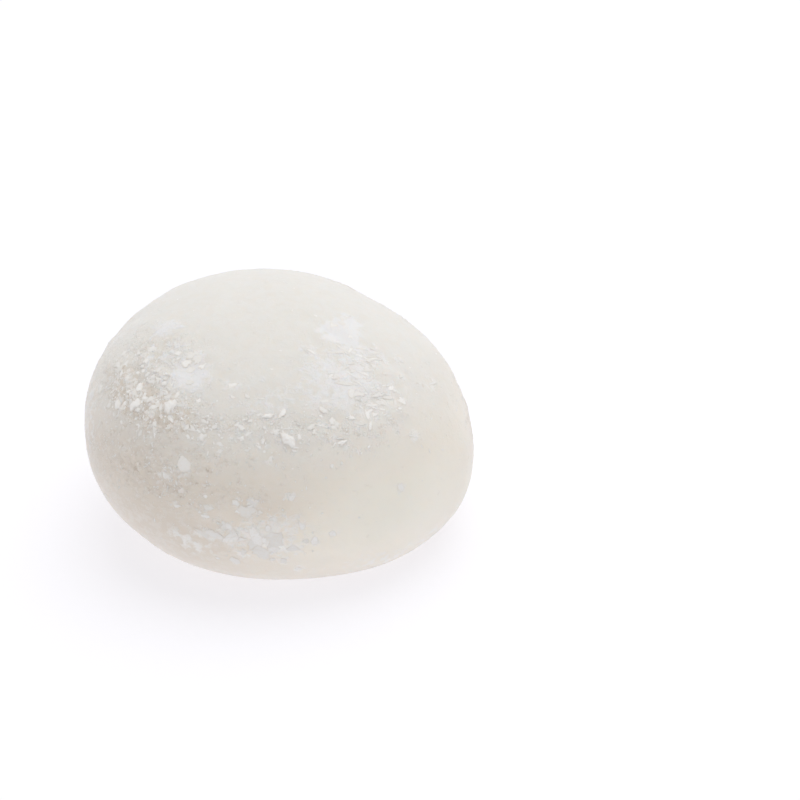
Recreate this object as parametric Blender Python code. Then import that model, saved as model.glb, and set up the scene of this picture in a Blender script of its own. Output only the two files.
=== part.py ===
"""Lychee mochi ice cream: one uncut piece of soft rice dough, lying on its flattened underside.

Metres, +Z up. The origin is the middle of the flat underside. The dough is broader than it is deep,
leans a little towards -X, and carries caked starch as relief and as small fused flakes.
"""

import math
import random

import bmesh
import bpy
from mathutils import Vector, noise

MM = 0.001

# The dough's driving sizes
HALF_WIDTH = 24.0 * MM
HALF_DEPTH = 22.8 * MM
HEIGHT = 30.0 * MM
BELLY_HEIGHT = 12.0 * MM
FLAT_SHARE = 0.60
UNDERSIDE_ELEVATION = math.radians(-60)
UPPER_FULLNESS = 2.06
LOWER_FULLNESS = 1.99
LEAN = -0.143
LOBE_SHARE = 0.025
LOBE_AZIMUTH = math.radians(-24)

# How deep the form is cut to leave the flat underside
UNDERSIDE_CUT = 0.15 * MM
FORM_SUBDIVISIONS = 5
NORMAL_STEP = 0.01
SHARP_EDGE = math.radians(35)

# Relief of the skin: slow dents all over, and lumps where starch has caked
DENT_SPACING = 9.0 * MM
DENT_HEIGHT = 0.30 * MM
LUMP_SPACING = 2.4 * MM
LUMP_HEIGHT = 0.45 * MM
RELIEF_STARTS = 1.0 * MM
RELIEF_FULL = 4.0 * MM

# Flakes of starch: how they are drawn round a patch, in shares of its reach and of their length
FLAKE_SEED = 7
FLAKE_SPREAD = 0.55
HIGHEST_FLAKE = 86
LOWEST_FLAKE = 2.0 * MM
WIDTH_SHARE = (0.5, 0.85)
FLAKE_THICKNESS = (0.25, 0.40)

# The shape of one flake: corners moved round and out by these shares, its foot sunk in the dough
FLAKE_SIDES = 6
CORNER_SHIFT = 0.22
CORNER_REACH = (0.82, 1.12)
FLAKE_SINK = 0.45 * MM
FLAKE_TOP_SHARE = 0.74
FLAKE_EDGE_SHARE = 0.72

# The dough's finish
SKIN_COLOUR = (0.83, 0.80, 0.75, 1.0)
SKIN_ROUGHNESS = 0.62

# Single flakes that stand out: azimuth, elevation in degrees, then length, width, thickness, turn
SINGLE_FLAKES = (
    (-116, 24, 2.9, 2.3, 0.30, 80),
    (-122, 18, 2.1, 1.1, 0.30, -15),
    (-111, 35, 1.8, 1.4, 0.35, 20),
    (-141, 38, 2.4, 1.4, 0.40, 70),
    (-149, 34, 2.0, 1.1, 0.40, 100),
    (-126, 43, 2.0, 1.6, 0.45, 30),
    (-136, 53, 1.1, 1.0, 0.50, 0),
    (-80, 35, 2.3, 1.7, 0.60, -35),
    (-86, 44, 2.0, 0.9, 0.45, 15),
    (-80, 45, 1.8, 0.8, 0.45, 50),
    (-62, 31, 2.0, 1.1, 0.45, 5),
    (-50, 34, 1.4, 0.9, 0.40, 30),
    (-49, 9, 1.7, 1.2, 0.25, 60),
    (-83, 14, 1.5, 1.0, 0.25, 20),
)

# Patches of caked starch: azimuth, elevation, reach across and up in degrees, flakes, their length
PATCHES = (
    (-143, 46, 14, 11, 24, (0.9, 1.7)),
    (-130, 60, 9, 8, 9, (1.3, 2.2)),
    (-19, 66, 8, 7, 5, (0.9, 1.6)),
    (-33, 44, 9, 12, 13, (0.9, 1.7)),
    (-70, 37, 20, 5, 11, (0.9, 1.6)),
    (-95, -4, 16, 9, 24, (1.4, 2.9)),
    (55, 40, 14, 12, 13, (1.0, 2.2)),
    (118, 8, 14, 10, 12, (1.2, 2.4)),
    (158, 38, 12, 12, 12, (0.9, 1.8)),
    (15, 2, 12, 12, 9, (1.0, 2.2)),
)


def clear_scene():
    """Takes away whatever the new file starts with."""
    for old in list(bpy.data.objects):
        bpy.data.objects.remove(old)


def towards(azimuth_deg, elevation_deg):
    """The unit direction of an azimuth and an elevation."""
    azimuth = math.radians(azimuth_deg)
    elevation = math.radians(elevation_deg)
    level = math.cos(elevation)
    return Vector((level * math.cos(azimuth), level * math.sin(azimuth), math.sin(elevation)))


def form_point(direction):
    """The point of the smooth dough, before its relief, that a unit direction stands for."""
    azimuth = math.atan2(direction.y, direction.x)
    elevation = math.asin(max(-1.0, min(1.0, direction.z)))
    if elevation >= 0:
        reach = math.cos(elevation) ** (2 / UPPER_FULLNESS)
        rise = math.sin(elevation) ** (2 / UPPER_FULLNESS)
        height = BELLY_HEIGHT + (HEIGHT - BELLY_HEIGHT) * rise
    elif elevation > UNDERSIDE_ELEVATION:
        turn = elevation / UNDERSIDE_ELEVATION * math.pi / 2
        reach = FLAT_SHARE + (1 - FLAT_SHARE) * math.cos(turn) ** (2 / LOWER_FULLNESS)
        height = BELLY_HEIGHT * (1 - math.sin(turn) ** (2 / LOWER_FULLNESS))
    else:
        reach = FLAT_SHARE * math.cos(elevation) / math.cos(UNDERSIDE_ELEVATION)
        height = 0.0
    lobe = 1 + LOBE_SHARE * math.cos(3 * (azimuth - LOBE_AZIMUTH))
    x = HALF_WIDTH * reach * lobe * math.cos(azimuth) + LEAN * height
    y = HALF_DEPTH * reach * lobe * math.sin(azimuth)
    return Vector((x, y, height))


def form_normal(direction):
    """The outward normal of the smooth dough in a unit direction."""
    side = direction.orthogonal().normalized()
    other = direction.cross(side)
    place = form_point(direction)
    along_side = form_point((direction + side * NORMAL_STEP).normalized()) - place
    along_other = form_point((direction + other * NORMAL_STEP).normalized()) - place
    return along_side.cross(along_other).normalized()


def caked_share(direction):
    """How far a direction lies in a patch of caked starch, from 0 to 1."""
    share = 0.0
    for azimuth, elevation, across, up, _, _ in PATCHES:
        middle = towards(azimuth, elevation)
        if direction.dot(middle) < 0:
            continue
        east = Vector((-middle.y, middle.x, 0)).normalized()
        north = middle.cross(east)
        offset = direction - middle
        reach = math.hypot(
            offset.dot(east) / math.radians(across), offset.dot(north) / math.radians(up)
        )
        share = max(share, math.exp(-(reach**2)))
    return share


def skin_point(direction):
    """The point of the dough's skin, relief included, in a unit direction."""
    place = form_point(direction)
    fade = (place.z - RELIEF_STARTS) / (RELIEF_FULL - RELIEF_STARTS)
    fade = max(0.0, min(1.0, fade))
    dents = DENT_HEIGHT * noise.noise(place / DENT_SPACING)
    lumps = LUMP_HEIGHT * noise.noise(place / LUMP_SPACING) * caked_share(direction)
    return place + form_normal(direction) * (dents + lumps) * fade


def dough():
    """The dough as one closed solid, cut flat underneath."""
    mesh = bpy.data.meshes.new("mochi")
    shape = bmesh.new()
    bmesh.ops.create_icosphere(shape, subdivisions=FORM_SUBDIVISIONS, radius=1.0)
    for vertex in shape.verts:
        vertex.co = skin_point(vertex.co.normalized())
        vertex.co.z -= UNDERSIDE_CUT
    cut = bmesh.ops.bisect_plane(
        shape,
        geom=[*shape.verts, *shape.edges, *shape.faces],
        plane_co=(0, 0, 0),
        plane_no=(0, 0, -1),
        clear_outer=True,
    )
    rim = [part for part in cut["geom_cut"] if isinstance(part, bmesh.types.BMEdge)]
    bmesh.ops.edgeloop_fill(shape, edges=rim)
    bmesh.ops.recalc_face_normals(shape, faces=shape.faces)
    shape.to_mesh(mesh)
    shape.free()
    body = bpy.data.objects.new("mochi", mesh)
    bpy.context.scene.collection.objects.link(body)
    return body


def scattered_flakes(draws):
    """Flakes drawn round each patch: a direction, then length, width, thickness and turn."""
    for azimuth, elevation, across, up, count, (shortest, longest) in PATCHES:
        for _ in range(count):
            sideways = draws.gauss(0, FLAKE_SPREAD) * across
            flake_azimuth = azimuth + sideways / math.cos(math.radians(elevation))
            flake_elevation = min(HIGHEST_FLAKE, elevation + draws.gauss(0, FLAKE_SPREAD) * up)
            length = draws.uniform(shortest, longest)
            width = length * draws.uniform(*WIDTH_SHARE)
            thickness = draws.uniform(*FLAKE_THICKNESS)
            turn = draws.uniform(0, 180)
            yield flake_azimuth, flake_elevation, length, width, thickness, turn


def flake_solid(number, flake, draws, collection):
    """One flake: a thin plate with an uneven outline, its foot sunk into the dough."""
    azimuth, elevation, length, width, thickness, turn = flake
    direction = towards(azimuth, elevation)
    middle = skin_point(direction)
    middle.z -= UNDERSIDE_CUT
    if middle.z < LOWEST_FLAKE:
        return
    normal = form_normal(direction)
    east = Vector((-direction.y, direction.x, 0)).normalized()
    north = normal.cross(east)
    angle = math.radians(turn)
    along = east * math.cos(angle) + north * math.sin(angle)
    across = normal.cross(along)

    shape = bmesh.new()
    foot = []
    edge = []
    for corner in range(FLAKE_SIDES):
        shift = draws.uniform(-CORNER_SHIFT, CORNER_SHIFT)
        round_by = 2 * math.pi * (corner + shift) / FLAKE_SIDES
        reach = draws.uniform(*CORNER_REACH)
        offset = along * (math.cos(round_by) * length / 2 * MM * reach)
        offset += across * (math.sin(round_by) * width / 2 * MM * reach)
        foot.append(shape.verts.new(middle + offset - normal * FLAKE_SINK))
        rise = normal * (thickness * MM * FLAKE_EDGE_SHARE)
        edge.append(shape.verts.new(middle + offset * FLAKE_TOP_SHARE + rise))
    crown = shape.verts.new(middle + normal * thickness * MM)
    shape.faces.new(foot)
    for corner in range(FLAKE_SIDES):
        following = (corner + 1) % FLAKE_SIDES
        shape.faces.new((foot[corner], foot[following], edge[following], edge[corner]))
        shape.faces.new((edge[corner], edge[following], crown))
    bmesh.ops.recalc_face_normals(shape, faces=shape.faces)
    mesh = bpy.data.meshes.new(f"flake_{number}")
    shape.to_mesh(mesh)
    shape.free()
    collection.objects.link(bpy.data.objects.new(f"flake_{number}", mesh))


def fuse(body, collection):
    """Joins the collection's solids to the body with one applied Boolean, then removes them."""
    union = body.modifiers.new("starch", "BOOLEAN")
    union.operation = "UNION"
    union.operand_type = "COLLECTION"
    union.collection = collection
    union.solver = "EXACT"
    graph = bpy.context.evaluated_depsgraph_get()
    fused = bpy.data.meshes.new_from_object(body.evaluated_get(graph))
    body.modifiers.remove(union)
    body.data = fused
    for helper in list(collection.objects):
        bpy.data.objects.remove(helper)
    bpy.data.collections.remove(collection)


def rice_skin():
    """Matte, slightly translucent white dough with dry starch on it."""
    material = bpy.data.materials.new("rice_skin")
    material.use_nodes = True
    shader = material.node_tree.nodes["Principled BSDF"]
    shader.inputs["Base Color"].default_value = SKIN_COLOUR
    shader.inputs["Roughness"].default_value = SKIN_ROUGHNESS
    shader.inputs["Metallic"].default_value = 0.0
    return material


def main():
    """Builds the dough, fuses its flakes and finishes it."""
    clear_scene()
    body = dough()
    starch = bpy.data.collections.new("starch")
    bpy.context.scene.collection.children.link(starch)
    draws = random.Random(FLAKE_SEED)
    flakes = [*SINGLE_FLAKES, *scattered_flakes(draws)]
    for number, flake in enumerate(flakes):
        flake_solid(number, flake, draws, starch)
    fuse(body, starch)
    body.data.materials.clear()
    body.data.materials.append(rice_skin())
    body.data.shade_smooth()
    body.data.set_sharp_from_angle(angle=SHARP_EDGE)


main()
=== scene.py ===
"""The looks of a lychee mochi ice cream: its powdery rice skin, caked starch, light and camera.

The skin and its flakes, scales and crumbs are meshes that follow one form, that of the frame's solid.
Everything is in metres, +Z up, with the origin in the middle of the flat underside, but single pieces
of starch are listed and drawn in degrees round the dough and in mm.
"""

import math
import random

import bmesh
import bpy
import numpy as np
from mathutils import Matrix, Vector, kdtree, noise


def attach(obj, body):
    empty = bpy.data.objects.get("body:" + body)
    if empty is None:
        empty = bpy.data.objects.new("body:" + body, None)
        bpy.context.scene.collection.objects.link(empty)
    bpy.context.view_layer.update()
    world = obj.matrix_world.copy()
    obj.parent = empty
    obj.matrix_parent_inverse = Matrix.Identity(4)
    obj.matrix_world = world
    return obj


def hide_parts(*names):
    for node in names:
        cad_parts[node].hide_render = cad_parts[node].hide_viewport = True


MM = 0.001

# The dough's driving sizes, as in the frame's solid
HALF_WIDTH = 24.0 * MM
HALF_DEPTH = 22.8 * MM
HEIGHT = 30.0 * MM
BELLY_HEIGHT = 12.0 * MM
FLAT_SHARE = 0.60
UNDERSIDE_ELEVATION = math.radians(-60)
UPPER_FULLNESS = 2.06
LOWER_FULLNESS = 1.99
LEAN = -0.143
LOBES = 3
LOBE_SHARE = 0.025
LOBE_AZIMUTH = math.radians(-24)
UNDERSIDE_CUT = 0.15 * MM

# The relief that the solid has too
DENT_SPACING = 9.0 * MM
DENT_HEIGHT = 0.30 * MM
LUMP_SPACING = 2.4 * MM
LUMP_HEIGHT = 0.45 * MM
RELIEF_STARTS = 1.0 * MM
RELIEF_FULL = 4.0 * MM

# The finer relief that only this mesh can hold
SKIN_CUTS = 125
RAGGED_SPACING = 1.7 * MM
RAGGED_SHARE = 0.30
GRAIN_SPACING = 0.65 * MM
GRAIN_HEIGHT = 0.10 * MM
GRAINS_BETWEEN = (0.15, 0.8)
WRINKLE_SPACING = 1.9 * MM
WRINKLE_HEIGHT = 0.045 * MM

# Plates of crust: how far their outlines wander and how wide their cracks are, as shares of their
# spacing; how high the cracks' floor is, as a share of the plate; and what makes plates differ
CRUST_SPACING = 0.9 * MM
CRUST_HEIGHT = 0.08 * MM
CRUST_STARTS = 0.05
PLATES_BETWEEN = (0.30, 0.75)
PLATE_WANDER = 0.25
CRUST_CRACK = 0.12
CRACK_FLOOR = 0.35
PLATE_VARIETY = 3.7

# Where three noises that differ are needed, they are read this far apart, in metres
NOISE_SHIFTS = (0.1, 0.2, 0.3)

# A small step over the unit sphere, and a length that is as good as none
SMALL_STEP = 0.01
ALMOST_NONE = 1e-9

# No starch lies lower than this
LOWEST_STARCH = 2.0 * MM

# Flakes of starch, scattered as for the solid: their highest elevation in degrees, their spread as a
# share of their patch's reach, their widths as shares of their length, and thicknesses in mm
FLAKE_SEED = 7
HIGHEST_FLAKE = 86
FLAKE_SPREAD = 0.55
FLAKE_WIDTHS = (0.5, 0.85)
FLAKE_THICKNESSES = (0.25, 0.40)

# A flake's outline: how many corners, how far they shift and reach, the reach where a ray misses the
# line between them, how ragged that line is, and how little past a corner still counts as on it
FLAKE_CORNERS = (3, 6)
FLAKE_SECTORS = 13
CORNER_SHIFTS = (-0.25, 0.25)
CORNER_REACHES = (0.75, 1.25)
PLAIN_REACH = 0.8
FLAKE_RAGGEDNESS = (0.62, 1.15)
CORNER_SLACK = 1e-6

# Rings of points from a flake's middle to its root in the skin: their reach, the lowest and highest
# share of the flake's height, and how near the rim they are; the root is in mm
FLAKE_UNDER = -0.5
FLAKE_RINGS = (
    (0.45, 0.75, 1.20, 0.0),
    (0.80, 0.45, 1.0, 0.35),
    (1.0, 0.05, 0.45, 1.0),
    (1.06, FLAKE_UNDER, FLAKE_UNDER, 1.0),
)
FLAKE_ROOT = 0.12
FLAKE_TILT = 0.25

# Flakes narrower than the first value, in mm, have fainter rims; patches whose flakes stand less clear
# than the second have lower lumps
FULL_RIM_WIDTH = 0.8
FULL_LUMPS_CLEAR = 0.12

# How bright the flattest flakes can be, and how far all of them lean towards dull
FLAT_BRIGHTNESS = 0.66
DULLNESS = 0.8

# Thin scales of starch: azimuth, elevation, reach across and up in degrees, how many, their length in
# mm and width as a share of it, which way they lie and how far they stray from it in degrees
SCALE_SEED = 21
SCALE_FIELDS = (
    (-140, 42, 19, 10, 150, (0.4, 1.3), (0.35, 0.8), 40, 70),
    (-158, 54, 16, 10, 60, (0.3, 0.8), (0.35, 0.8), 40, 70),
    (-128, 20, 26, 13, 85, (0.3, 0.8), (0.25, 0.5), 90, 18),
    (-104, 42, 18, 7, 60, (0.4, 1.2), (0.25, 0.6), 20, 40),
    (-72, 37, 20, 7, 70, (0.4, 1.4), (0.25, 0.6), -10, 40),
    (-26, 56, 12, 8, 50, (1.1, 2.8), (0.14, 0.30), -65, 14),
    (-42, 43, 12, 11, 60, (0.8, 2.4), (0.16, 0.36), -20, 20),
    (-95, -2, 20, 11, 80, (0.5, 1.6), (0.45, 0.9), 40, 60),
    (-55, 24, 20, 10, 18, (0.4, 0.9), (0.3, 0.7), 30, 50),
    (-95, 72, 60, 12, 30, (0.3, 0.8), (0.3, 0.7), 0, 40),
    (60, 32, 20, 14, 120, (0.4, 1.2), (0.3, 0.7), 40, 60),
    (118, 8, 20, 14, 120, (0.4, 1.4), (0.3, 0.8), 60, 50),
    (145, 25, 18, 13, 110, (0.4, 1.1), (0.3, 0.7), 30, 60),
    (15, 2, 20, 14, 90, (0.4, 1.2), (0.3, 0.7), 30, 60),
    (75, 18, 55, 26, 260, (0.3, 1.0), (0.3, 0.7), 20, 70),
    (170, 12, 34, 24, 120, (0.3, 0.9), (0.3, 0.7), 20, 70),
)
HIGHEST_SCALE = 86
SCALE_SPREAD = 0.7
SCALE_THICKNESSES = (0.08, 0.18)
SCALE_CLEAR = 0.38

# Crumbs of starch: azimuth, elevation, reach across and up in degrees, how many, radius in mm
CRUMB_SEED = 5
CRUMB_FIELDS = (
    (-141, 41, 19, 10, 1050, (0.05, 0.19)),
    (-155, 54, 17, 12, 650, (0.05, 0.14)),
    (-128, 22, 30, 16, 1000, (0.04, 0.14)),
    (-104, 42, 18, 7, 420, (0.05, 0.17)),
    (-72, 37, 20, 6, 420, (0.05, 0.17)),
    (-46, 32, 14, 9, 180, (0.05, 0.14)),
    (-40, 46, 14, 14, 220, (0.04, 0.11)),
    (-97, 0, 22, 11, 350, (0.04, 0.11)),
    (-166, 38, 12, 16, 450, (0.05, 0.14)),
    (-100, 74, 50, 13, 220, (0.04, 0.10)),
    (60, 30, 22, 14, 900, (0.05, 0.16)),
    (118, 10, 20, 14, 700, (0.05, 0.15)),
    (145, 24, 18, 13, 700, (0.05, 0.16)),
    (15, 5, 18, 14, 500, (0.05, 0.15)),
    (75, 18, 60, 28, 1800, (0.04, 0.12)),
    (170, 12, 36, 26, 800, (0.04, 0.12)),
)
CRUMB_SPREAD = 0.7
HIGHEST_CRUMB = 88
CRUMB_FINENESS = 2

# Crumbs anywhere on the dough: how many, the sine of their elevation, and their radius in mm
CRUMBS_ELSEWHERE = 500
ELSEWHERE_RISE = (-0.5, 0.99)
ELSEWHERE_RADIUS = (0.03, 0.06)

# A crumb's shape, and how far its middle stands above the skin, as shares of its radius
CRUMB_STRETCHES = ((0.8, 1.9), (0.7, 1.1), (0.6, 1.0))
CRUMB_UNEVENNESS = (0.75, 1.2)
CRUMB_SINK = -0.25

# How far starch is shaded as the skin under it, as light passes through such thin pieces, and how far
# that shading is turned upwards
CRUMB_SOFTNESS = 0.75
FLAKE_SOFTNESS = 0.60
SCALE_SOFTNESS = 0.76
LIFT_TO_LIGHT = 0.45

# Starch gathers in clumps, and the fields of crust and film have uneven outlines
CLUMP_SPACING = 3.4 * MM
CLUMP_SHIFT = 0.05
CLUMP_LIMITS = (-0.45, 0.30)
SWAY_SPACING = 5.5 * MM
SWAY_REACH = 0.10

# The film round each flake: its reach in mm and in shares of half the flake's length, its strength,
# and the length in mm from which it is full
HALO_MARGIN = 0.25
HALO_SPREAD = 1.5
HALO_STRENGTH = 0.60
HALO_FULL_LENGTH = 1.4

# Where the skin is a granular crust: azimuth, elevation, reach across and up in degrees, strength
CRUST_FIELDS = (
    (-141, 41, 20, 11, 0.88),
    (-155, 54, 18, 12, 0.60),
    (-128, 20, 34, 18, 0.46),
    (-102, 41, 20, 8, 0.34),
    (-70, 36, 20, 8, 0.32),
    (-46, 32, 16, 9, 0.25),
    (-40, 46, 16, 16, 0.22),
    (-97, -2, 22, 10, 0.26),
    (-170, 40, 14, 16, 0.30),
    (60, 32, 24, 15, 0.80),
    (118, 10, 22, 15, 0.75),
    (143, 24, 20, 13, 0.70),
    (15, 4, 20, 15, 0.65),
    (75, 18, 60, 30, 0.30),
    (170, 12, 36, 26, 0.30),
)

# Where starch lies as a smooth cool-white film, in the same terms
FILM_FIELDS = (
    (-18, 64, 6.0, 7.0, 1.50),
    (-22, 70, 4.0, 3.0, 1.1),
    (-121, 55, 7.0, 8.0, 1.15),
    (-146, 60, 6.0, 5.0, 0.50),
    (-172, 62, 6.0, 6.0, 0.78),
    (-152, 55, 19, 11, 0.50),
    (-132, 44, 14, 9.0, 0.38),
    (-50, 48, 19, 13, 0.70),
    (-44, 54, 11, 8.0, 0.80),
    (-84, 50, 18, 9.0, 0.50),
    (-94, -4, 16, 11, 0.74),
    (-114, -8, 12, 9.0, 0.60),
    (-122, 21, 7.0, 5.0, 0.45),
    (-168, 18, 13, 22, 0.62),
    (-52, -25, 28, 11, 0.52),
    (60, 34, 12, 7.0, 0.75),
    (88, 44, 16, 5.0, 0.60),
    (125, 12, 14, 6.0, 0.70),
    (145, 28, 10, 6.0, 0.65),
    (20, 6, 14, 6.0, 0.70),
    (75, 20, 55, 24, 0.36),
)

# Single flakes that stand out: azimuth and elevation in degrees, length, width and thickness in mm,
# turn in degrees, the share of the thickness that stands clear of the skin, and brightness from 0 to 1,
# whose upper half is painted glint
SINGLE_FLAKES = (
    (-116, 24, 2.9, 2.3, 0.30, 80, 0.30, 0.30),
    (-122, 18, 2.1, 1.1, 0.30, -15, 0.35, 0.35),
    (-111, 35, 1.8, 1.4, 0.35, 20, 0.45, 0.55),
    (-141, 38, 2.4, 1.4, 0.40, 70, 0.70, 1.0),
    (-149, 34, 2.0, 1.1, 0.40, 100, 0.70, 0.95),
    (-126, 43, 2.0, 1.6, 0.45, 30, 0.60, 0.85),
    (-136, 53, 1.1, 1.0, 0.50, 0, 0.80, 1.0),
    (-80, 35, 2.3, 1.7, 0.60, -35, 0.50, 0.95),
    (-86, 44, 2.0, 0.9, 0.45, 15, 0.45, 0.85),
    (-80, 45, 1.8, 0.8, 0.45, 50, 0.45, 0.90),
    (-62, 31, 2.0, 1.1, 0.45, 5, 0.60, 1.0),
    (-50, 34, 1.4, 0.9, 0.40, 30, 0.45, 0.95),
    (-49, 9, 1.7, 1.2, 0.25, 60, 0.20, 0.45),
    (-83, 14, 1.5, 1.0, 0.25, 20, 0.20, 0.35),
)

# Patches of caked starch: azimuth, elevation, reach across and up in degrees, how many flakes, their
# length in mm, and the share of a flake's thickness that stands clear of the skin
PATCHES = (
    (-143, 46, 14, 11, 24, (0.9, 1.7), 0.55),
    (-130, 60, 9, 8, 9, (1.3, 2.2), 0.22),
    (-19, 66, 8, 7, 5, (0.9, 1.6), 0.15),
    (-33, 44, 9, 12, 13, (0.9, 1.7), 0.24),
    (-70, 37, 20, 5, 11, (0.9, 1.6), 0.38),
    (-95, -4, 16, 9, 24, (1.4, 2.9), 0.17),
    (55, 40, 14, 12, 13, (1.0, 2.2), 0.03),
    (118, 8, 14, 10, 12, (1.2, 2.4), 0.30),
    (158, 38, 12, 12, 12, (0.9, 1.8), 0.10),
    (15, 2, 12, 12, 9, (1.0, 2.2), 0.25),
)

# Where painted light makes the bare dough lighter, on its right side, and where painted shade makes it
# darker, mostly on its left side, in the same terms as the crust
PAINTED_LIGHT_FIELDS = ((-56, 0, 34, 24, 1.0), (70, -5, 40, 25, 0.7))
PAINTED_SHADE_FIELDS = (
    (-136, 34, 17, 10, 1.25),
    (-147, 44, 9, 7, 1.0),
    (-128, 12, 20, 16, 0.75),
    (-98, 12, 22, 12, 0.55),
    (-128, -6, 26, 20, 1.0),
    (-150, 10, 24, 24, 0.7),
    (165, -10, 30, 20, 0.6),
)

# The camera, as the photograph was taken: above the horizon, at a long lens
CAMERA_ELEVATION = math.radians(34.0)
CAMERA_DISTANCE = 0.500
CAMERA_AIM = Vector((13.4 * MM, 0.0, 16.0 * MM))
PICTURE_SIDE = 800
PIXELS_PER_RADIAN = 4028
SENSOR_WIDTH = 36.0
CLIP_NEAR = 0.01
CLIP_FAR = 20.0

# The light: an even tent and one broad soft light
TENT_COLOUR = (1.0, 1.0, 1.0, 1.0)
TENT_STRENGTH = 0.58
SOFT_LIGHT_FROM = Vector((0.15, 0.30, 0.88))
SOFT_LIGHT_STRENGTH = 1.25
SOFT_LIGHT_SPREAD = math.radians(60)

# The floor
FLOOR_RADIUS = 6.0
FLOOR_SIDES = 96

# Colours
# The dough under painted light, and under painted shade
PAINTED_LIGHT_DOUGH_COLOUR = (0.95, 0.895, 0.80, 1.0)
PAINTED_SHADE_DOUGH_COLOUR = (0.75, 0.678, 0.592, 1.0)
DUST_COLOUR = (0.85, 0.845, 0.825, 1.0)
FILM_COLOUR = (0.91, 0.89, 0.855, 1.0)
HIGH_FILM_COLOUR = (0.895, 0.885, 0.885, 1.0)
# The dough between the crust's grains, darker still with painted shade in the pits
PIT_DOUGH_AND_SHADE_COLOUR = (0.59, 0.515, 0.43, 1.0)
CRUST_COLOUR = (0.73, 0.66, 0.58, 1.0)
STARCH_RIM = (0.85, 0.79, 0.715, 1.0)
STARCH_DULL = (0.865, 0.845, 0.81, 1.0)
STARCH_PLAIN = (0.90, 0.885, 0.86, 1.0)
# The whitest starch, brightened further as painted glint
STARCH_WHITE_AND_GLINT = (0.985, 0.97, 0.95, 1.0)

# What is the same all over a material
SKIN_FINISH = {
    "Subsurface Weight": 0.85,
    "Subsurface Radius": (0.8, 0.9, 1.0),
    "Subsurface Scale": 0.15 * MM,
    "Subsurface Anisotropy": 0.3,
    "Specular IOR Level": 0.35,
    "Sheen Weight": 0.20,
    "Sheen Roughness": 0.40,
}
STARCH_FINISH = {"Specular IOR Level": 0.35}
FLOOR_FINISH = {
    "Base Color": (0.47, 0.47, 0.48, 1.0),
    "Roughness": 0.9,
    "Specular IOR Level": 0.0,
    "Emission Color": (0.965, 0.955, 1.0, 1.0),
    "Emission Strength": 0.592,
}

# The skin's textures: scale per metre, detail and roughness
CLOUD_NOISE = (210, 3, 0.55)
RAGGED_NOISE = (900, 4, 0.65)
SPECKLE_NOISE = (2600, 3, 0.6)
GRAIN_NOISE = (6500, 2, 0.6)
STROKE_NOISE = (1500, 3, 0.55)
STROKE_STRETCH = (0.30, 1.0, 1.0)
CHIP_SCALE = 2300

# The skin's layers: the two values between which their source runs, and the strengths that these
# stand for, from none to all where there are only two values
# The dough's colour runs from painted shade to painted light, with its random tone, between these
LIGHT_SHADE_AND_TONE_RANGE = (-0.7, 1.3)
CRUST_EDGES = (0.20, 0.75)
FILM_EDGES = (0.36, 0.72)
DUST_HEIGHTS = (13 * MM, 27 * MM)
DUST_STRENGTHS = (0.0, 1.0, 0.12, 0.74)
DUST_WHERE_WORN = (0.25, 0.60, 0.72, 1.0)
DUST_ON_CRUST = (0.0, 1.0, 1.0, 0.45)
LAYERS_BY_LIGHT_SHADE_AND_TONE = (-0.5, 0.9, 0.42, 0.04)
LAYER_EDGES = (0.50, 0.56)
STREAK_EDGES = (0.54, 0.62)
# Pits: the lowest chips of the crust, darkened partly as dough between grains and partly as painted
# shade
PITS = (0.0, 0.36, 0.90, 0.0)
PITS_IN_SPECKLE = (0.40, 0.60)
# Flecks of white starch in the crust, with painted glint
FLECKS_AND_GLINTS = (0.66, 0.84, 0.0, 0.60)
HIGH_UP = (21 * MM, 27.5 * MM, 0.1, 1.0)
CRUST_WHEN_HIGH = (0.1, 1.0, 0.66, 0.12)
PITS_WHEN_HIGH = (0.1, 1.0, 1.0, 0.35)
ROUGHNESS_WHEN_DRY = (0.0, 0.9, 0.46, 0.82)

# Strengths that are the same all over the skin
CLOUD_STRENGTH = 0.6
EDGE_UNEVENNESS = 1.6
LAYER_STRENGTH = 0.55
FILM_STRENGTH = 0.85
SPECKLE_ON_DOUGH = 0.25

# Bumps finer than the skin's mesh: their height in metres and their strength
GRAIN_BUMP = (0.03 * MM, 0.35)
LAYER_BUMP = (0.04 * MM, 0.6)
RAGGED_BUMP = (0.10 * MM, 0.4)
SPECKLE_BUMP = (0.12 * MM, 0.6)
CHIP_BUMP = (0.10 * MM, 0.6)

# The starch's texture, layers and bumps, in the same terms
STARCH_NOISE = (3200, 4, 0.6)
PLAIN_TINTS = (0.0, 0.5)
# The brightest tints are painted glint
BRIGHT_TINTS = (0.5, 1.0)
WORN_STRENGTHS = (0.36, 0.56, 0.35, 0.0)
RIM_STRENGTHS = (0.35, 0.60, 0.95, 0.35)
STARCH_ROUGHNESS = (0.3, 0.7, 0.60, 0.88)
STARCH_BUMP = (0.04 * MM, 0.3)


def towards(azimuth_deg, elevation_deg):
    """The unit directions of azimuths and elevations in degrees."""
    azimuth = np.radians(azimuth_deg)
    elevation = np.radians(elevation_deg)
    level = np.cos(elevation)
    return np.stack([level * np.cos(azimuth), level * np.sin(azimuth), np.sin(elevation)], axis=-1)


def unit(vectors):
    return vectors / np.linalg.norm(vectors, axis=-1, keepdims=True)


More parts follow.
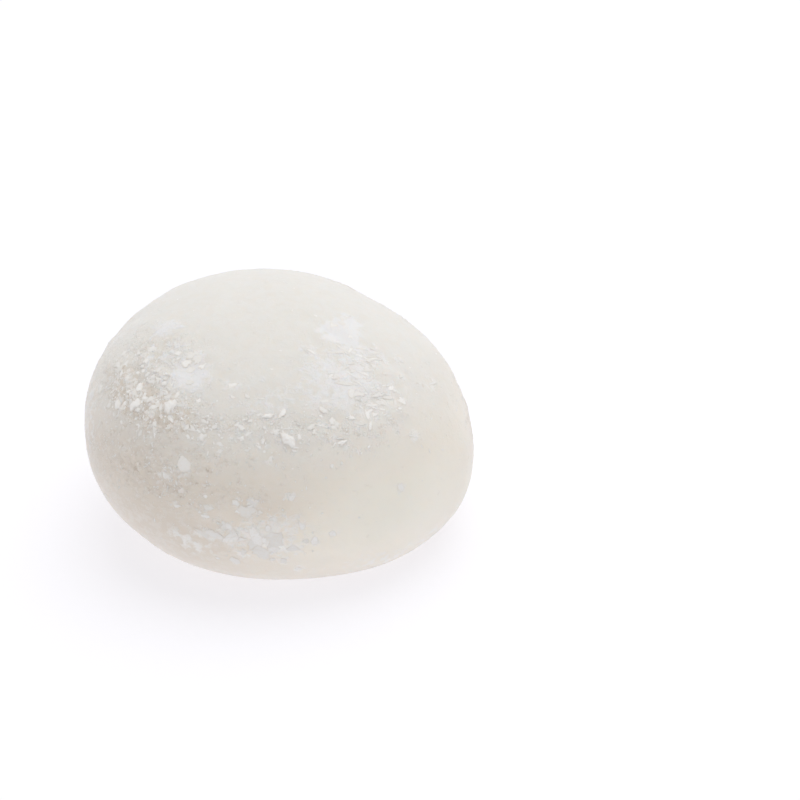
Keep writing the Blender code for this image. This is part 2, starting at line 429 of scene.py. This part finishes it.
def form_points(directions):
    """The points of the smooth dough, before its relief, that unit directions stand for."""
    azimuth = np.arctan2(directions[:, 1], directions[:, 0])
    elevation = np.arcsin(np.clip(directions[:, 2], -1, 1))
    above = np.clip(elevation, 0, math.pi / 2)
    turn = np.clip(elevation / UNDERSIDE_ELEVATION, 0, 1) * math.pi / 2
    reach_above = np.cos(above) ** (2 / UPPER_FULLNESS)
    rise = np.sin(above) ** (2 / UPPER_FULLNESS)
    height_above = BELLY_HEIGHT + (HEIGHT - BELLY_HEIGHT) * rise
    round_below = np.clip(np.cos(turn), 0, 1)
    reach_below = FLAT_SHARE + (1 - FLAT_SHARE) * round_below ** (2 / LOWER_FULLNESS)
    height_below = BELLY_HEIGHT * (1 - np.sin(turn) ** (2 / LOWER_FULLNESS))
    reach_under = FLAT_SHARE * np.cos(elevation) / math.cos(UNDERSIDE_ELEVATION)
    reach = np.where(elevation >= 0, reach_above, reach_below)
    reach = np.where(elevation < UNDERSIDE_ELEVATION, reach_under, reach)
    height = np.where(elevation >= 0, height_above, height_below)
    lobe = 1 + LOBE_SHARE * np.cos(LOBES * (azimuth - LOBE_AZIMUTH))
    x = HALF_WIDTH * reach * lobe * np.cos(azimuth) + LEAN * height
    y = HALF_DEPTH * reach * lobe * np.sin(azimuth)
    return np.stack([x, y, height], axis=-1)


def east_and_north(directions):
    """Unit vectors across and up a unit sphere at each direction."""
    level = np.full(len(directions), ALMOST_NONE)
    east = unit(np.stack([-directions[:, 1], directions[:, 0], level], axis=-1))
    return east, np.cross(directions, east)


def form_normals(directions):
    """The outward normals of the smooth dough."""
    east, north = east_and_north(directions)
    middle = form_points(directions)
    along_east = form_points(unit(directions + east * SMALL_STEP)) - middle
    along_north = form_points(unit(directions + north * SMALL_STEP)) - middle
    return unit(np.cross(along_east, along_north))


def field_shares(directions, fields):
    """The strongest of some fields at each direction; a field fades out from its middle."""
    share = np.zeros(len(directions))
    for azimuth, elevation, across, up, strength in fields:
        middle = towards(azimuth, elevation)[None]
        east, north = east_and_north(middle)
        offset = directions - middle
        reach = np.hypot(
            offset @ east[0] / math.radians(across), offset @ north[0] / math.radians(up)
        )
        near_side = directions @ middle[0] >= 0
        share = np.maximum(share, np.where(near_side, strength * np.exp(-(reach**2)), 0.0))
    return share


def caked_shares(directions):
    """How far directions lie in patches of caked starch, from 0 to 1; flat patches count less."""
    fields = [
        (azimuth, elevation, across, up, min(1.0, clear / FULL_LUMPS_CLEAR))
        for azimuth, elevation, across, up, _, _, clear in PATCHES
    ]
    return field_shares(directions, fields)


def noise_at(places, spacing):
    """Smooth noise from about -1 to 1 whose bumps are a spacing apart."""
    return np.array([noise.noise(Vector(place)) for place in places / spacing])


def smooth_step(low, high, values):
    share = np.clip((values - low) / (high - low), 0, 1)
    return share * share * (3 - 2 * share)


def relief_fade(places):
    """How much of the relief each place has: none near the underside, all of it from a little above."""
    return np.clip((places[:, 2] - RELIEF_STARTS) / (RELIEF_FULL - RELIEF_STARTS), 0, 1)


def relief(directions, places):
    """The skin's height over the smooth form, as in the solid but lower where starch lies flat."""
    dents = DENT_HEIGHT * noise_at(places, DENT_SPACING)
    lumps = LUMP_HEIGHT * noise_at(places, LUMP_SPACING) * caked_shares(directions)
    return (dents + lumps) * relief_fade(places)


def skin_points(directions):
    """Points of the skin without its finer relief, and the smooth form's outward normals there."""
    places = form_points(directions)
    normals = form_normals(directions)
    points = places + normals * relief(directions, places)[:, None]
    points[:, 2] -= UNDERSIDE_CUT
    return points, normals


def crust_plates(places, crust):
    """Thin plates of caked starch with cracks between them, from 0 to 1."""
    warped = places + PLATE_WANDER * CRUST_SPACING * np.stack(
        [noise_at(places + shift, CRUST_SPACING) for shift in NOISE_SHIFTS], axis=-1
    )
    heights = np.zeros(len(places))
    for index in np.flatnonzero(crust > CRUST_STARTS):
        distances, cells = noise.voronoi(Vector(warped[index] / CRUST_SPACING))
        plate = 0.5 + 0.5 * noise.noise(cells[0] * PLATE_VARIETY)
        crack = min(1.0, (distances[1] - distances[0]) / CRUST_CRACK)
        heights[index] = plate * (CRACK_FLOOR + (1 - CRACK_FLOOR) * crack)
    return heights


def fine_relief(places, crust):
    """Relief finer than the solid's: plates and grains in the crust, faint wrinkles all over."""
    ragged = crust + RAGGED_SHARE * noise_at(places, RAGGED_SPACING)
    plates = CRUST_HEIGHT * crust_plates(places, crust) * smooth_step(*PLATES_BETWEEN, ragged)
    grains = GRAIN_HEIGHT * noise_at(places, GRAIN_SPACING) * smooth_step(*GRAINS_BETWEEN, ragged)
    wrinkles = WRINKLE_HEIGHT * noise_at(places, WRINKLE_SPACING)
    return plates + grains + wrinkles


def shade_through(mesh, skin_normals, softness):
    """Shades each facet partly with the normal of the skin under it, turned towards the light."""
    facets = np.empty(len(mesh.polygons) * 3)
    mesh.polygons.foreach_get("normal", facets)
    sides = np.empty(len(mesh.polygons), dtype=int)
    mesh.polygons.foreach_get("loop_total", sides)
    corners = np.empty(len(mesh.loops), dtype=int)
    mesh.loops.foreach_get("vertex_index", corners)
    own = np.repeat(facets.reshape(-1, 3), sides, axis=0)
    lit = unit(np.asarray(skin_normals)[corners] + np.array((0.0, 0.0, LIFT_TO_LIGHT)))
    blended = unit(own * (1 - softness) + lit * softness)
    mesh.shade_smooth()
    mesh.normals_split_custom_set(blended.tolist())


def middles_of(pieces):
    """The unit directions of pieces of starch, which all start with an azimuth and an elevation."""
    return towards([piece[0] for piece in pieces], [piece[1] for piece in pieces])


def flake_halos(places, flakes):
    """How much film lies at each place because of the flakes near it, from 0 to 1."""
    tree = kdtree.KDTree(len(places))
    for index, place in enumerate(places):
        tree.insert(place, index)
    tree.balance()
    share = np.zeros(len(places))
    for flake, middle in zip(flakes, form_points(middles_of(flakes))):
        length = flake[2]
        reach = (HALO_MARGIN + length / 2 * HALO_SPREAD) * MM
        strength = HALO_STRENGTH * min(1.0, length / HALO_FULL_LENGTH)
        for _, index, distance in tree.find_range(middle, reach):
            share[index] = max(share[index], strength * (1 - (distance / reach) ** 2))
    return share


def swayed(directions, places):
    """Directions moved about a little, so that no field of crust or film has an even outline."""
    sway = np.stack([noise_at(places + shift, SWAY_SPACING) for shift in NOISE_SHIFTS], axis=-1)
    return unit(directions + SWAY_REACH * sway)


def in_clumps(pieces, draws):
    """The pieces that are left where starch gathers, with bare dough between the clumps."""
    places = form_points(middles_of(pieces))
    gathered = noise_at(places + CLUMP_SHIFT, CLUMP_SPACING)
    return [piece for piece, here in zip(pieces, gathered) if here > draws.uniform(*CLUMP_LIMITS)]


def cube_sphere(cuts):
    """A unit sphere of nearly equal squares, as a bmesh."""
    shape = bmesh.new()
    bmesh.ops.create_cube(shape, size=2.0)
    bmesh.ops.subdivide_edges(shape, edges=shape.edges, cuts=cuts, use_grid_fill=True)
    for vertex in shape.verts:
        spread = Vector([math.tan(part * math.pi / 4) for part in vertex.co])
        vertex.co = spread.normalized()
    return shape


def new_piece(name, mesh, material):
    mesh.materials.append(material)
    piece = bpy.data.objects.new(name, mesh)
    bpy.context.scene.collection.objects.link(piece)
    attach(piece, "root")
    return piece


def make_skin(material, flakes):
    """The whole rice skin as one closed mesh, which also holds where it is crust and film, and its
    painted light and shade.
    """
    shape = cube_sphere(SKIN_CUTS)
    directions = np.array([vertex.co for vertex in shape.verts])
    places = form_points(directions)
    moved = swayed(directions, places)
    crust = field_shares(moved, CRUST_FIELDS)
    film = np.maximum(field_shares(moved, FILM_FIELDS), flake_halos(places, flakes))
    points, normals = skin_points(directions)
    points = points + normals * (fine_relief(places, crust) * relief_fade(places))[:, None]
    # Painted light on the dough's right side and painted shade on its left, kept under the name clear
    clear = field_shares(directions, PAINTED_LIGHT_FIELDS) - field_shares(directions, PAINTED_SHADE_FIELDS)
    crust_layer = shape.verts.layers.float.new("crust")
    film_layer = shape.verts.layers.float.new("film")
    light_and_shade_layer = shape.verts.layers.float.new("clear")
    for index, vertex in enumerate(shape.verts):
        vertex.co = points[index]
        vertex[crust_layer] = crust[index]
        vertex[film_layer] = film[index]
        vertex[light_and_shade_layer] = clear[index]
    cut = bmesh.ops.bisect_plane(
        shape,
        geom=[*shape.verts, *shape.edges, *shape.faces],
        plane_co=(0, 0, 0),
        plane_no=(0, 0, -1),
        clear_outer=True,
    )
    rim = [part for part in cut["geom_cut"] if isinstance(part, bmesh.types.BMEdge)]
    bmesh.ops.edgeloop_fill(shape, edges=rim)
    bmesh.ops.recalc_face_normals(shape, faces=shape.faces)
    mesh = bpy.data.meshes.new("mochi_skin")
    shape.to_mesh(mesh)
    shape.free()
    mesh.shade_smooth()
    skin = new_piece("mochi_skin", mesh, material)
    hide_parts("mochi")


def scattered_place(draws, field, spread, highest):
    """An azimuth and an elevation drawn round the middle of a field or patch."""
    azimuth, elevation, across, up = field[:4]
    sideways = draws.gauss(0, spread) * across / math.cos(math.radians(elevation))
    upwards = draws.gauss(0, spread) * up
    return azimuth + sideways, min(highest, elevation + upwards)


def scattered_flakes(draws):
    """Flakes drawn round each patch, in the same terms as the single ones."""
    for patch in PATCHES:
        count, lengths, clear = patch[4:]
        for _ in range(count):
            place = scattered_place(draws, patch, FLAKE_SPREAD, HIGHEST_FLAKE)
            length = draws.uniform(*lengths)
            width = length * draws.uniform(*FLAKE_WIDTHS)
            thickness = draws.uniform(*FLAKE_THICKNESSES)
            turn = draws.uniform(0, 180)
            yield *place, length, width, thickness, turn, clear, None


def scattered_scales(draws):
    """Thin scales drawn round each field, in the same terms as the flakes."""
    for field in SCALE_FIELDS:
        count, lengths, widths, lie, stray = field[4:]
        for _ in range(count):
            place = scattered_place(draws, field, SCALE_SPREAD, HIGHEST_SCALE)
            length = draws.uniform(*lengths)
            width = length * draws.uniform(*widths)
            thickness = draws.uniform(*SCALE_THICKNESSES)
            turn = draws.gauss(lie, stray)
            yield *place, length, width, thickness, turn, SCALE_CLEAR, None


def flat_ray(angle):
    return Vector((math.cos(angle), math.sin(angle)))


def flake_outline(draws):
    """An uneven, cornered outline: the reach in each sector, about 1."""
    corners = draws.randint(*FLAKE_CORNERS)
    turns = sorted((corner + draws.uniform(*CORNER_SHIFTS)) / corners for corner in range(corners))
    tips = [flat_ray(2 * math.pi * turn) * draws.uniform(*CORNER_REACHES) for turn in turns]
    outline = []
    for sector in range(FLAKE_SECTORS):
        ray = flat_ray(2 * math.pi * sector / FLAKE_SECTORS)
        reach = 0.0
        for start, end in zip(tips, tips[1:] + tips[:1]):
            edge = end - start
            across = ray.x * edge.y - ray.y * edge.x
            if abs(across) < ALMOST_NONE:
                continue
            along_ray = (start.x * edge.y - start.y * edge.x) / across
            along_edge = (start.x * ray.y - start.y * ray.x) / across
            if along_ray > 0 and -CORNER_SLACK <= along_edge <= 1 + CORNER_SLACK:
                reach = max(reach, along_ray)
        outline.append((reach or PLAIN_REACH) * draws.uniform(*FLAKE_RAGGEDNESS))
    return outline


def flake_grid(flake, draws):
    """A flake's points: metres along and across it, height, and how near its rim, from 0 to 1."""
    _, _, length, width, thickness, _, clear, _ = flake
    outline = flake_outline(draws)
    lean = draws.uniform(-FLAKE_TILT, FLAKE_TILT)
    roll = draws.uniform(-FLAKE_TILT, FLAKE_TILT)
    height = thickness * clear
    rim = min(1.0, width / FULL_RIM_WIDTH)
    grid = [(0.0, 0.0, height * MM, 0.0)]
    for reach, lowest, highest, edge in FLAKE_RINGS:
        for sector in range(FLAKE_SECTORS):
            angle = 2 * math.pi * sector / FLAKE_SECTORS
            along = math.cos(angle) * outline[sector] * reach * length / 2
            across = math.sin(angle) * outline[sector] * reach * width / 2
            level = height * draws.uniform(lowest, highest)
            if lowest > 0:
                level += (along * lean + across * roll) * clear
            else:
                level -= FLAKE_ROOT
            grid.append((along * MM, across * MM, level * MM, edge * rim))
    grid.append((0.0, 0.0, (FLAKE_UNDER * height - FLAKE_ROOT) * MM, rim))
    return grid


def flake_faces(first):
    """The faces of one flake whose points start at an index."""
    last_ring = first + 1 + (len(FLAKE_RINGS) - 1) * FLAKE_SECTORS
    bottom = last_ring + FLAKE_SECTORS
    faces = []
    for sector in range(FLAKE_SECTORS):
        following = (sector + 1) % FLAKE_SECTORS
        faces.append((first, first + 1 + sector, first + 1 + following))
        for ring in range(len(FLAKE_RINGS) - 1):
            inner = first + 1 + ring * FLAKE_SECTORS
            outer = inner + FLAKE_SECTORS
            faces.append((inner + sector, outer + sector, outer + following, inner + following))
        faces.append((last_ring + following, last_ring + sector, bottom))
    return faces


def metres_along(across, middles, places):
    """How many metres of the form a unit vector across the unit sphere stands for at each middle."""
    moved = form_points(unit(middles + across * SMALL_STEP))
    return np.linalg.norm(moved - places, axis=1) / SMALL_STEP


def starch_mesh(name, points, faces, point_values):
    """A mesh whose points also hold a number under each name."""
    mesh = bpy.data.meshes.new(name)
    mesh.from_pydata(points, [], faces)
    for label, values in point_values.items():
        mesh.attributes.new(label, "FLOAT", "POINT").data.foreach_set("value", values)
    return mesh


def flakes_piece(name, flakes, draws, material, softness):
    """Flakes as one mesh that follows the skin, with a tint for each flake."""
    middles = middles_of(flakes)
    places = form_points(middles)
    east, north = east_and_north(middles)
    east_scale = metres_along(east, middles, places)
    north_scale = metres_along(north, middles, places)

    directions = []
    heights = []
    tints = []
    edges = []
    faces = []
    for number, flake in enumerate(flakes):
        if places[number, 2] - UNDERSIDE_CUT < LOWEST_STARCH:
            continue
        *_, turn_deg, clear, tint = flake
        turn = math.radians(turn_deg)
        if tint is None:
            tint = min(1.0, FLAT_BRIGHTNESS + clear) * draws.random() ** DULLNESS
        faces.extend(flake_faces(len(directions)))
        for along, across, height, edge in flake_grid(flake, draws):
            to_east = along * math.cos(turn) - across * math.sin(turn)
            to_north = along * math.sin(turn) + across * math.cos(turn)
            offset = east[number] * (to_east / east_scale[number])
            offset = offset + north[number] * (to_north / north_scale[number])
            directions.append(middles[number] + offset)
            heights.append(height)
            tints.append(tint)
            edges.append(edge)
    points, normals = skin_points(unit(np.array(directions)))
    points = points + normals * np.array(heights)[:, None]
    mesh = starch_mesh(name, points.tolist(), faces, {"tint": tints, "edge": edges})
    shade_through(mesh, normals, softness)
    new_piece(name, mesh, material)


def scattered_crumbs(draws):
    """Crumbs drawn round each field and a few anywhere: azimuth, elevation and radius."""
    for field in CRUMB_FIELDS:
        count, (smallest, largest) = field[4:]
        for _ in range(count):
            place = scattered_place(draws, field, CRUMB_SPREAD, HIGHEST_CRUMB)
            yield *place, smallest + (largest - smallest) * draws.random() ** CRUMB_FINENESS
    for _ in range(CRUMBS_ELSEWHERE):
        elevation = math.degrees(math.asin(draws.uniform(*ELSEWHERE_RISE)))
        yield draws.uniform(-180, 180), elevation, draws.uniform(*ELSEWHERE_RADIUS)


def plain_lump():
    """The points and faces of a lump of radius 1, from which all crumbs are made."""
    shape = bmesh.new()
    bmesh.ops.create_icosphere(shape, subdivisions=1, radius=1.0)
    points = np.array([vertex.co for vertex in shape.verts])
    faces = [[vertex.index for vertex in face.verts] for face in shape.faces]
    shape.free()
    return points, faces


def make_crumbs(material):
    """All crumbs of starch as one mesh: small uneven lumps, part sunk into the skin."""
    draws = random.Random(CRUMB_SEED)
    lump_points, lump_faces = plain_lump()
    crumbs = in_clumps(list(scattered_crumbs(draws)), draws)
    middles, normals = skin_points(middles_of(crumbs))
    points = []
    faces = []
    tints = []
    skin_normals = []
    for (_, _, size), middle, normal in zip(crumbs, middles, normals):
        if middle[2] < LOWEST_STARCH:
            continue
        radius = size * MM
        stretch = np.diag([draws.uniform(*limits) for limits in CRUMB_STRETCHES])
        upright = Vector(normal).to_track_quat("Z", "Y").to_matrix()
        turned = np.array(upright @ Matrix.Rotation(draws.uniform(0, math.tau), 3, "Z"))
        uneven = np.array([draws.uniform(*CRUMB_UNEVENNESS) for _ in lump_points])[:, None]
        first = len(points)
        shaped = (lump_points * uneven) @ stretch @ turned.T * radius
        points.extend((middle + normal * radius * CRUMB_SINK + shaped).tolist())
        faces.extend([first + corner for corner in face] for face in lump_faces)
        tints.extend([draws.random()] * len(lump_points))
        skin_normals.extend([normal] * len(lump_points))
    mesh = starch_mesh("starch_crumbs", points, faces, {"tint": tints})
    shade_through(mesh, skin_normals, CRUMB_SOFTNESS)
    new_piece("starch_crumbs", mesh, material)


class Finish:
    """A new material, and short calls that add a node to it and return one of the node's outputs."""

    def __init__(self, name, fixed):
        self.material = bpy.data.materials.new(name)
        self.material.use_nodes = True
        self.nodes = self.material.node_tree.nodes
        self.shader = self.nodes["Principled BSDF"]
        for socket, value in fixed.items():
            self.feed(self.shader.inputs[socket], value)

    def feed(self, socket, value):
        """Links an output to a socket, or sets the socket to a plain number or colour."""
        if isinstance(value, bpy.types.NodeSocket):
            self.material.node_tree.links.new(value, socket)
        else:
            socket.default_value = value

    def add(self, kind, output, inputs, **settings):
        node = self.nodes.new(kind)
        for setting, value in settings.items():
            setattr(node, setting, value)
        for socket, value in inputs.items():
            self.feed(node.inputs[socket], value)
        return node.outputs[output]

    def place(self):
        """The place on the object, in metres."""
        return self.add("ShaderNodeTexCoord", "Object", {})

    def attribute(self, name):
        return self.add("ShaderNodeAttribute", "Fac", {}, attribute_name=name)

    def noise(self, place, scale, detail, roughness):
        """Noise from 0 to 1, its scale per metre."""
        inputs = {"Vector": place, "Scale": scale, "Detail": detail, "Roughness": roughness}
        return self.add("ShaderNodeTexNoise", "Fac", inputs)

    def chips(self, place, scale):
        """Angular chips, each with one value from 0 to 1, their scale per metre."""
        colours = self.add("ShaderNodeTexVoronoi", "Color", {"Vector": place, "Scale": scale})
        return self.add("ShaderNodeSeparateColor", "Red", {"Color": colours})

    def ramp(self, source, low, high, at_low=0.0, at_high=1.0):
        """Runs smoothly from one strength to another while the source runs from low to high."""
        inputs = {
            "Value": source,
            "From Min": low,
            "From Max": high,
            "To Min": at_low,
            "To Max": at_high,
        }
        return self.add("ShaderNodeMapRange", "Result", inputs, interpolation_type="SMOOTHSTEP")

    def maths(self, operation, first, second):
        return self.add("ShaderNodeMath", "Value", {0: first, 1: second}, operation=operation)

    def product(self, first, second):
        return self.maths("MULTIPLY", first, second)

    def total(self, first, second):
        return self.maths("ADD", first, second)

    def larger(self, first, second):
        return self.maths("MAXIMUM", first, second)

    def mixed(self, share, first, second):
        """The first colour, with a share of the second."""
        inputs = {"Factor": share, "A": first, "B": second}
        return self.add("ShaderNodeMix", "Result", inputs, data_type="RGBA")

    def bump(self, height, distance, strength, below=None):
        """Bumps of up to a distance in metres, on top of the bumps below if there are any."""
        inputs = {"Height": height, "Distance": distance, "Strength": strength}
        if below is not None:
            inputs["Normal"] = below
        return self.add("ShaderNodeBump", "Normal", inputs)

    def done(self, colour, roughness, normal):
        """The material, with what varies over its surface."""
        for socket, value in (("Base Color", colour), ("Roughness", roughness), ("Normal", normal)):
            self.feed(self.shader.inputs[socket], value)
        return self.material


def dust_share(finish, height, ragged, crusted):
    """Thin dust: more of it higher up, less where it is worn off and less on crust."""
    by_height = finish.ramp(finish.ramp(height, *DUST_HEIGHTS), *DUST_STRENGTHS)
    unworn = finish.ramp(ragged, *DUST_WHERE_WORN)
    off_crust = finish.ramp(crusted, *DUST_ON_CRUST)
    return finish.product(finish.product(by_height, unworn), off_crust)


def layer_share(finish, light_shade_and_tone, crust, ragged, stroke):
    """Thin layers and streaks of starch, more where the dough is darker, mostly where it is in painted
    shade, and on crust.
    """
    cover = finish.larger(finish.ramp(light_shade_and_tone, *LAYERS_BY_LIGHT_SHADE_AND_TONE), crust)
    layers = finish.product(finish.ramp(ragged, *LAYER_EDGES), cover)
    streaks = finish.product(finish.ramp(stroke, *STREAK_EDGES), cover)
    return finish.larger(layers, streaks)


def crust_over(finish, tone, crusted, fleck_and_glint_share, chip, speckle, high):
    """A tone with the crust over it: darker, with pits that are partly dough showing between the grains
    and partly painted shade, and white flecks with painted glint, and less so high up.
    """
    browned = finish.product(crusted, finish.ramp(high, *CRUST_WHEN_HIGH))
    pits = finish.product(finish.ramp(chip, *PITS), finish.ramp(high, *PITS_WHEN_HIGH))
    # The pits' colour is partly the dough between grains and partly painted shade in these recesses
    pit_dough_and_shade = finish.product(finish.product(pits, crusted), finish.ramp(speckle, *PITS_IN_SPECKLE))
    tone = finish.mixed(browned, tone, CRUST_COLOUR)
    tone = finish.mixed(pit_dough_and_shade, tone, PIT_DOUGH_AND_SHADE_COLOUR)
    # Painted glint on the flecks of white starch
    return finish.mixed(fleck_and_glint_share, tone, STARCH_WHITE_AND_GLINT)


def skin_material():
    """Soft translucent rice dough with starch on it: thin dust, granular crust and white film, over
    dough with painted light on one side and painted shade on the other.
    """
    finish = Finish("rice_skin", SKIN_FINISH)
    place = finish.place()
    crust = finish.attribute("crust")
    height = finish.add("ShaderNodeSeparateXYZ", "Z", {"Vector": place})
    cloud = finish.noise(place, *CLOUD_NOISE)
    ragged = finish.noise(place, *RAGGED_NOISE)
    speckle = finish.noise(place, *SPECKLE_NOISE)
    grain = finish.noise(place, *GRAIN_NOISE)
    drawn_out = finish.add("ShaderNodeMapping", "Vector", {"Vector": place, "Scale": STROKE_STRETCH})
    stroke = finish.noise(drawn_out, *STROKE_NOISE)
    chip = finish.chips(place, CHIP_SCALE)

    uneven = finish.product(finish.maths("SUBTRACT", ragged, 0.5), EDGE_UNEVENNESS)
    crusted = finish.ramp(finish.total(crust, uneven), *CRUST_EDGES)
    filmed = finish.ramp(finish.total(finish.attribute("film"), uneven), *FILM_EDGES)
    # The painted light and shade, with the dough's random tone from the cloud
    light_shade_and_tone = finish.total(finish.attribute("clear"), finish.product(cloud, CLOUD_STRENGTH))
    dusted = dust_share(finish, height, ragged, crusted)
    layered = layer_share(finish, light_shade_and_tone, crust, ragged, stroke)
    # Flecks of white starch with painted glint
    fleck_and_glint_share = finish.product(finish.ramp(chip, *FLECKS_AND_GLINTS), crusted)
    high = finish.ramp(height, *HIGH_UP)

    # The dough's colour, from painted shade to painted light
    painted_light_share = finish.ramp(light_shade_and_tone, *LIGHT_SHADE_AND_TONE_RANGE)
    tone = finish.mixed(painted_light_share, PAINTED_SHADE_DOUGH_COLOUR, PAINTED_LIGHT_DOUGH_COLOUR)
    tone = finish.mixed(dusted, tone, DUST_COLOUR)
    tone = finish.mixed(finish.product(layered, LAYER_STRENGTH), tone, FILM_COLOUR)
    tone = crust_over(finish, tone, crusted, fleck_and_glint_share, chip, speckle, high)
    film_tone = finish.mixed(high, FILM_COLOUR, HIGH_FILM_COLOUR)
    tone = finish.mixed(finish.product(filmed, FILM_STRENGTH), tone, film_tone)

    dry = finish.larger(finish.larger(dusted, fleck_and_glint_share), filmed)
    normal = None
    for source, bump in (
        (grain, GRAIN_BUMP),
        (finish.total(layered, filmed), LAYER_BUMP),
        (ragged, RAGGED_BUMP),
        (finish.product(speckle, finish.total(crusted, SPECKLE_ON_DOUGH)), SPECKLE_BUMP),
        (finish.product(chip, crusted), CHIP_BUMP),
    ):
        normal = finish.bump(source, *bump, normal)
    return finish.done(tone, finish.ramp(dry, *ROUGHNESS_WHEN_DRY), normal)


def starch_material():
    """Dry starch, each flake or crumb between cream and cool white, the brightest with painted glint,
    darker where worn and at rims.
    """
    finish = Finish("dry_starch", STARCH_FINISH)
    tint = finish.attribute("tint")
    speckle = finish.noise(finish.place(), *STARCH_NOISE)
    tone = finish.mixed(finish.ramp(tint, *PLAIN_TINTS), STARCH_DULL, STARCH_PLAIN)
    # The brightest pieces get painted glint
    tone = finish.mixed(finish.ramp(tint, *BRIGHT_TINTS), tone, STARCH_WHITE_AND_GLINT)
    thinned = finish.product(finish.attribute("edge"), finish.ramp(speckle, *RIM_STRENGTHS))
    worn = finish.larger(finish.ramp(speckle, *WORN_STRENGTHS), thinned)
    return finish.done(
        finish.mixed(worn, tone, STARCH_RIM),
        finish.ramp(speckle, *STARCH_ROUGHNESS),
        finish.bump(speckle, *STARCH_BUMP),
    )


def make_floor():
    """Plain pale floor, which glows a little as well, so that the shadow stays faint."""
    mesh = bpy.data.meshes.new("floor")
    shape = bmesh.new()
    bmesh.ops.create_circle(shape, cap_ends=True, segments=FLOOR_SIDES, radius=FLOOR_RADIUS)
    shape.to_mesh(mesh)
    shape.free()
    mesh.materials.append(Finish("pale_floor", FLOOR_FINISH).material)
    floor = bpy.data.objects.new("floor", mesh)
    bpy.context.scene.collection.objects.link(floor)


def make_light():
    """An even white tent, and one broad soft light from above, a little behind and to the right."""
    world = bpy.data.worlds.new("studio")
    world.use_nodes = True
    background = world.node_tree.nodes["Background"]
    background.inputs["Color"].default_value = TENT_COLOUR
    background.inputs["Strength"].default_value = TENT_STRENGTH
    bpy.context.scene.world = world
    lamp = bpy.data.lights.new("soft_light", "SUN")
    lamp.energy = SOFT_LIGHT_STRENGTH
    lamp.angle = SOFT_LIGHT_SPREAD
    light = bpy.data.objects.new("soft_light", lamp)
    light.rotation_mode = "QUATERNION"
    light.rotation_quaternion = (-SOFT_LIGHT_FROM).to_track_quat("-Z", "Y")
    bpy.context.scene.collection.objects.link(light)
    bpy.context.scene.view_settings.view_transform = "Standard"


def make_camera():
    lens = bpy.data.cameras.new("camera")
    lens.sensor_width = SENSOR_WIDTH
    lens.lens = SENSOR_WIDTH * PIXELS_PER_RADIAN / PICTURE_SIDE
    lens.clip_start = CLIP_NEAR
    lens.clip_end = CLIP_FAR
    camera = bpy.data.objects.new("camera", lens)
    back = Vector((0, -math.cos(CAMERA_ELEVATION), math.sin(CAMERA_ELEVATION)))
    camera.location = CAMERA_AIM + back * CAMERA_DISTANCE
    camera.rotation_mode = "QUATERNION"
    camera.rotation_quaternion = (-back).to_track_quat("-Z", "Y")
    bpy.context.scene.collection.objects.link(camera)
    bpy.context.scene.camera = camera


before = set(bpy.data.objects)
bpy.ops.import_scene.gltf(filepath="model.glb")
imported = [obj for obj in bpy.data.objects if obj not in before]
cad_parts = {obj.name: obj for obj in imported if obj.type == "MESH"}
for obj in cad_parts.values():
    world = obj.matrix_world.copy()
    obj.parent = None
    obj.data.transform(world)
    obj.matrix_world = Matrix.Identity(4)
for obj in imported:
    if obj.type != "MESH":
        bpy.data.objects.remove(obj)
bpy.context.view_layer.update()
make_camera()
make_floor()
make_light()
flake_draws = random.Random(FLAKE_SEED)
scale_draws = random.Random(SCALE_SEED)
flakes = [*SINGLE_FLAKES, *scattered_flakes(flake_draws)]
scales = in_clumps(list(scattered_scales(scale_draws)), scale_draws)
starch = starch_material()
make_skin(skin_material(), [*flakes, *scales])
flakes_piece("starch_flakes", flakes, flake_draws, starch, FLAKE_SOFTNESS)
flakes_piece("starch_scales", scales, scale_draws, starch, SCALE_SOFTNESS)
make_crumbs(starch)
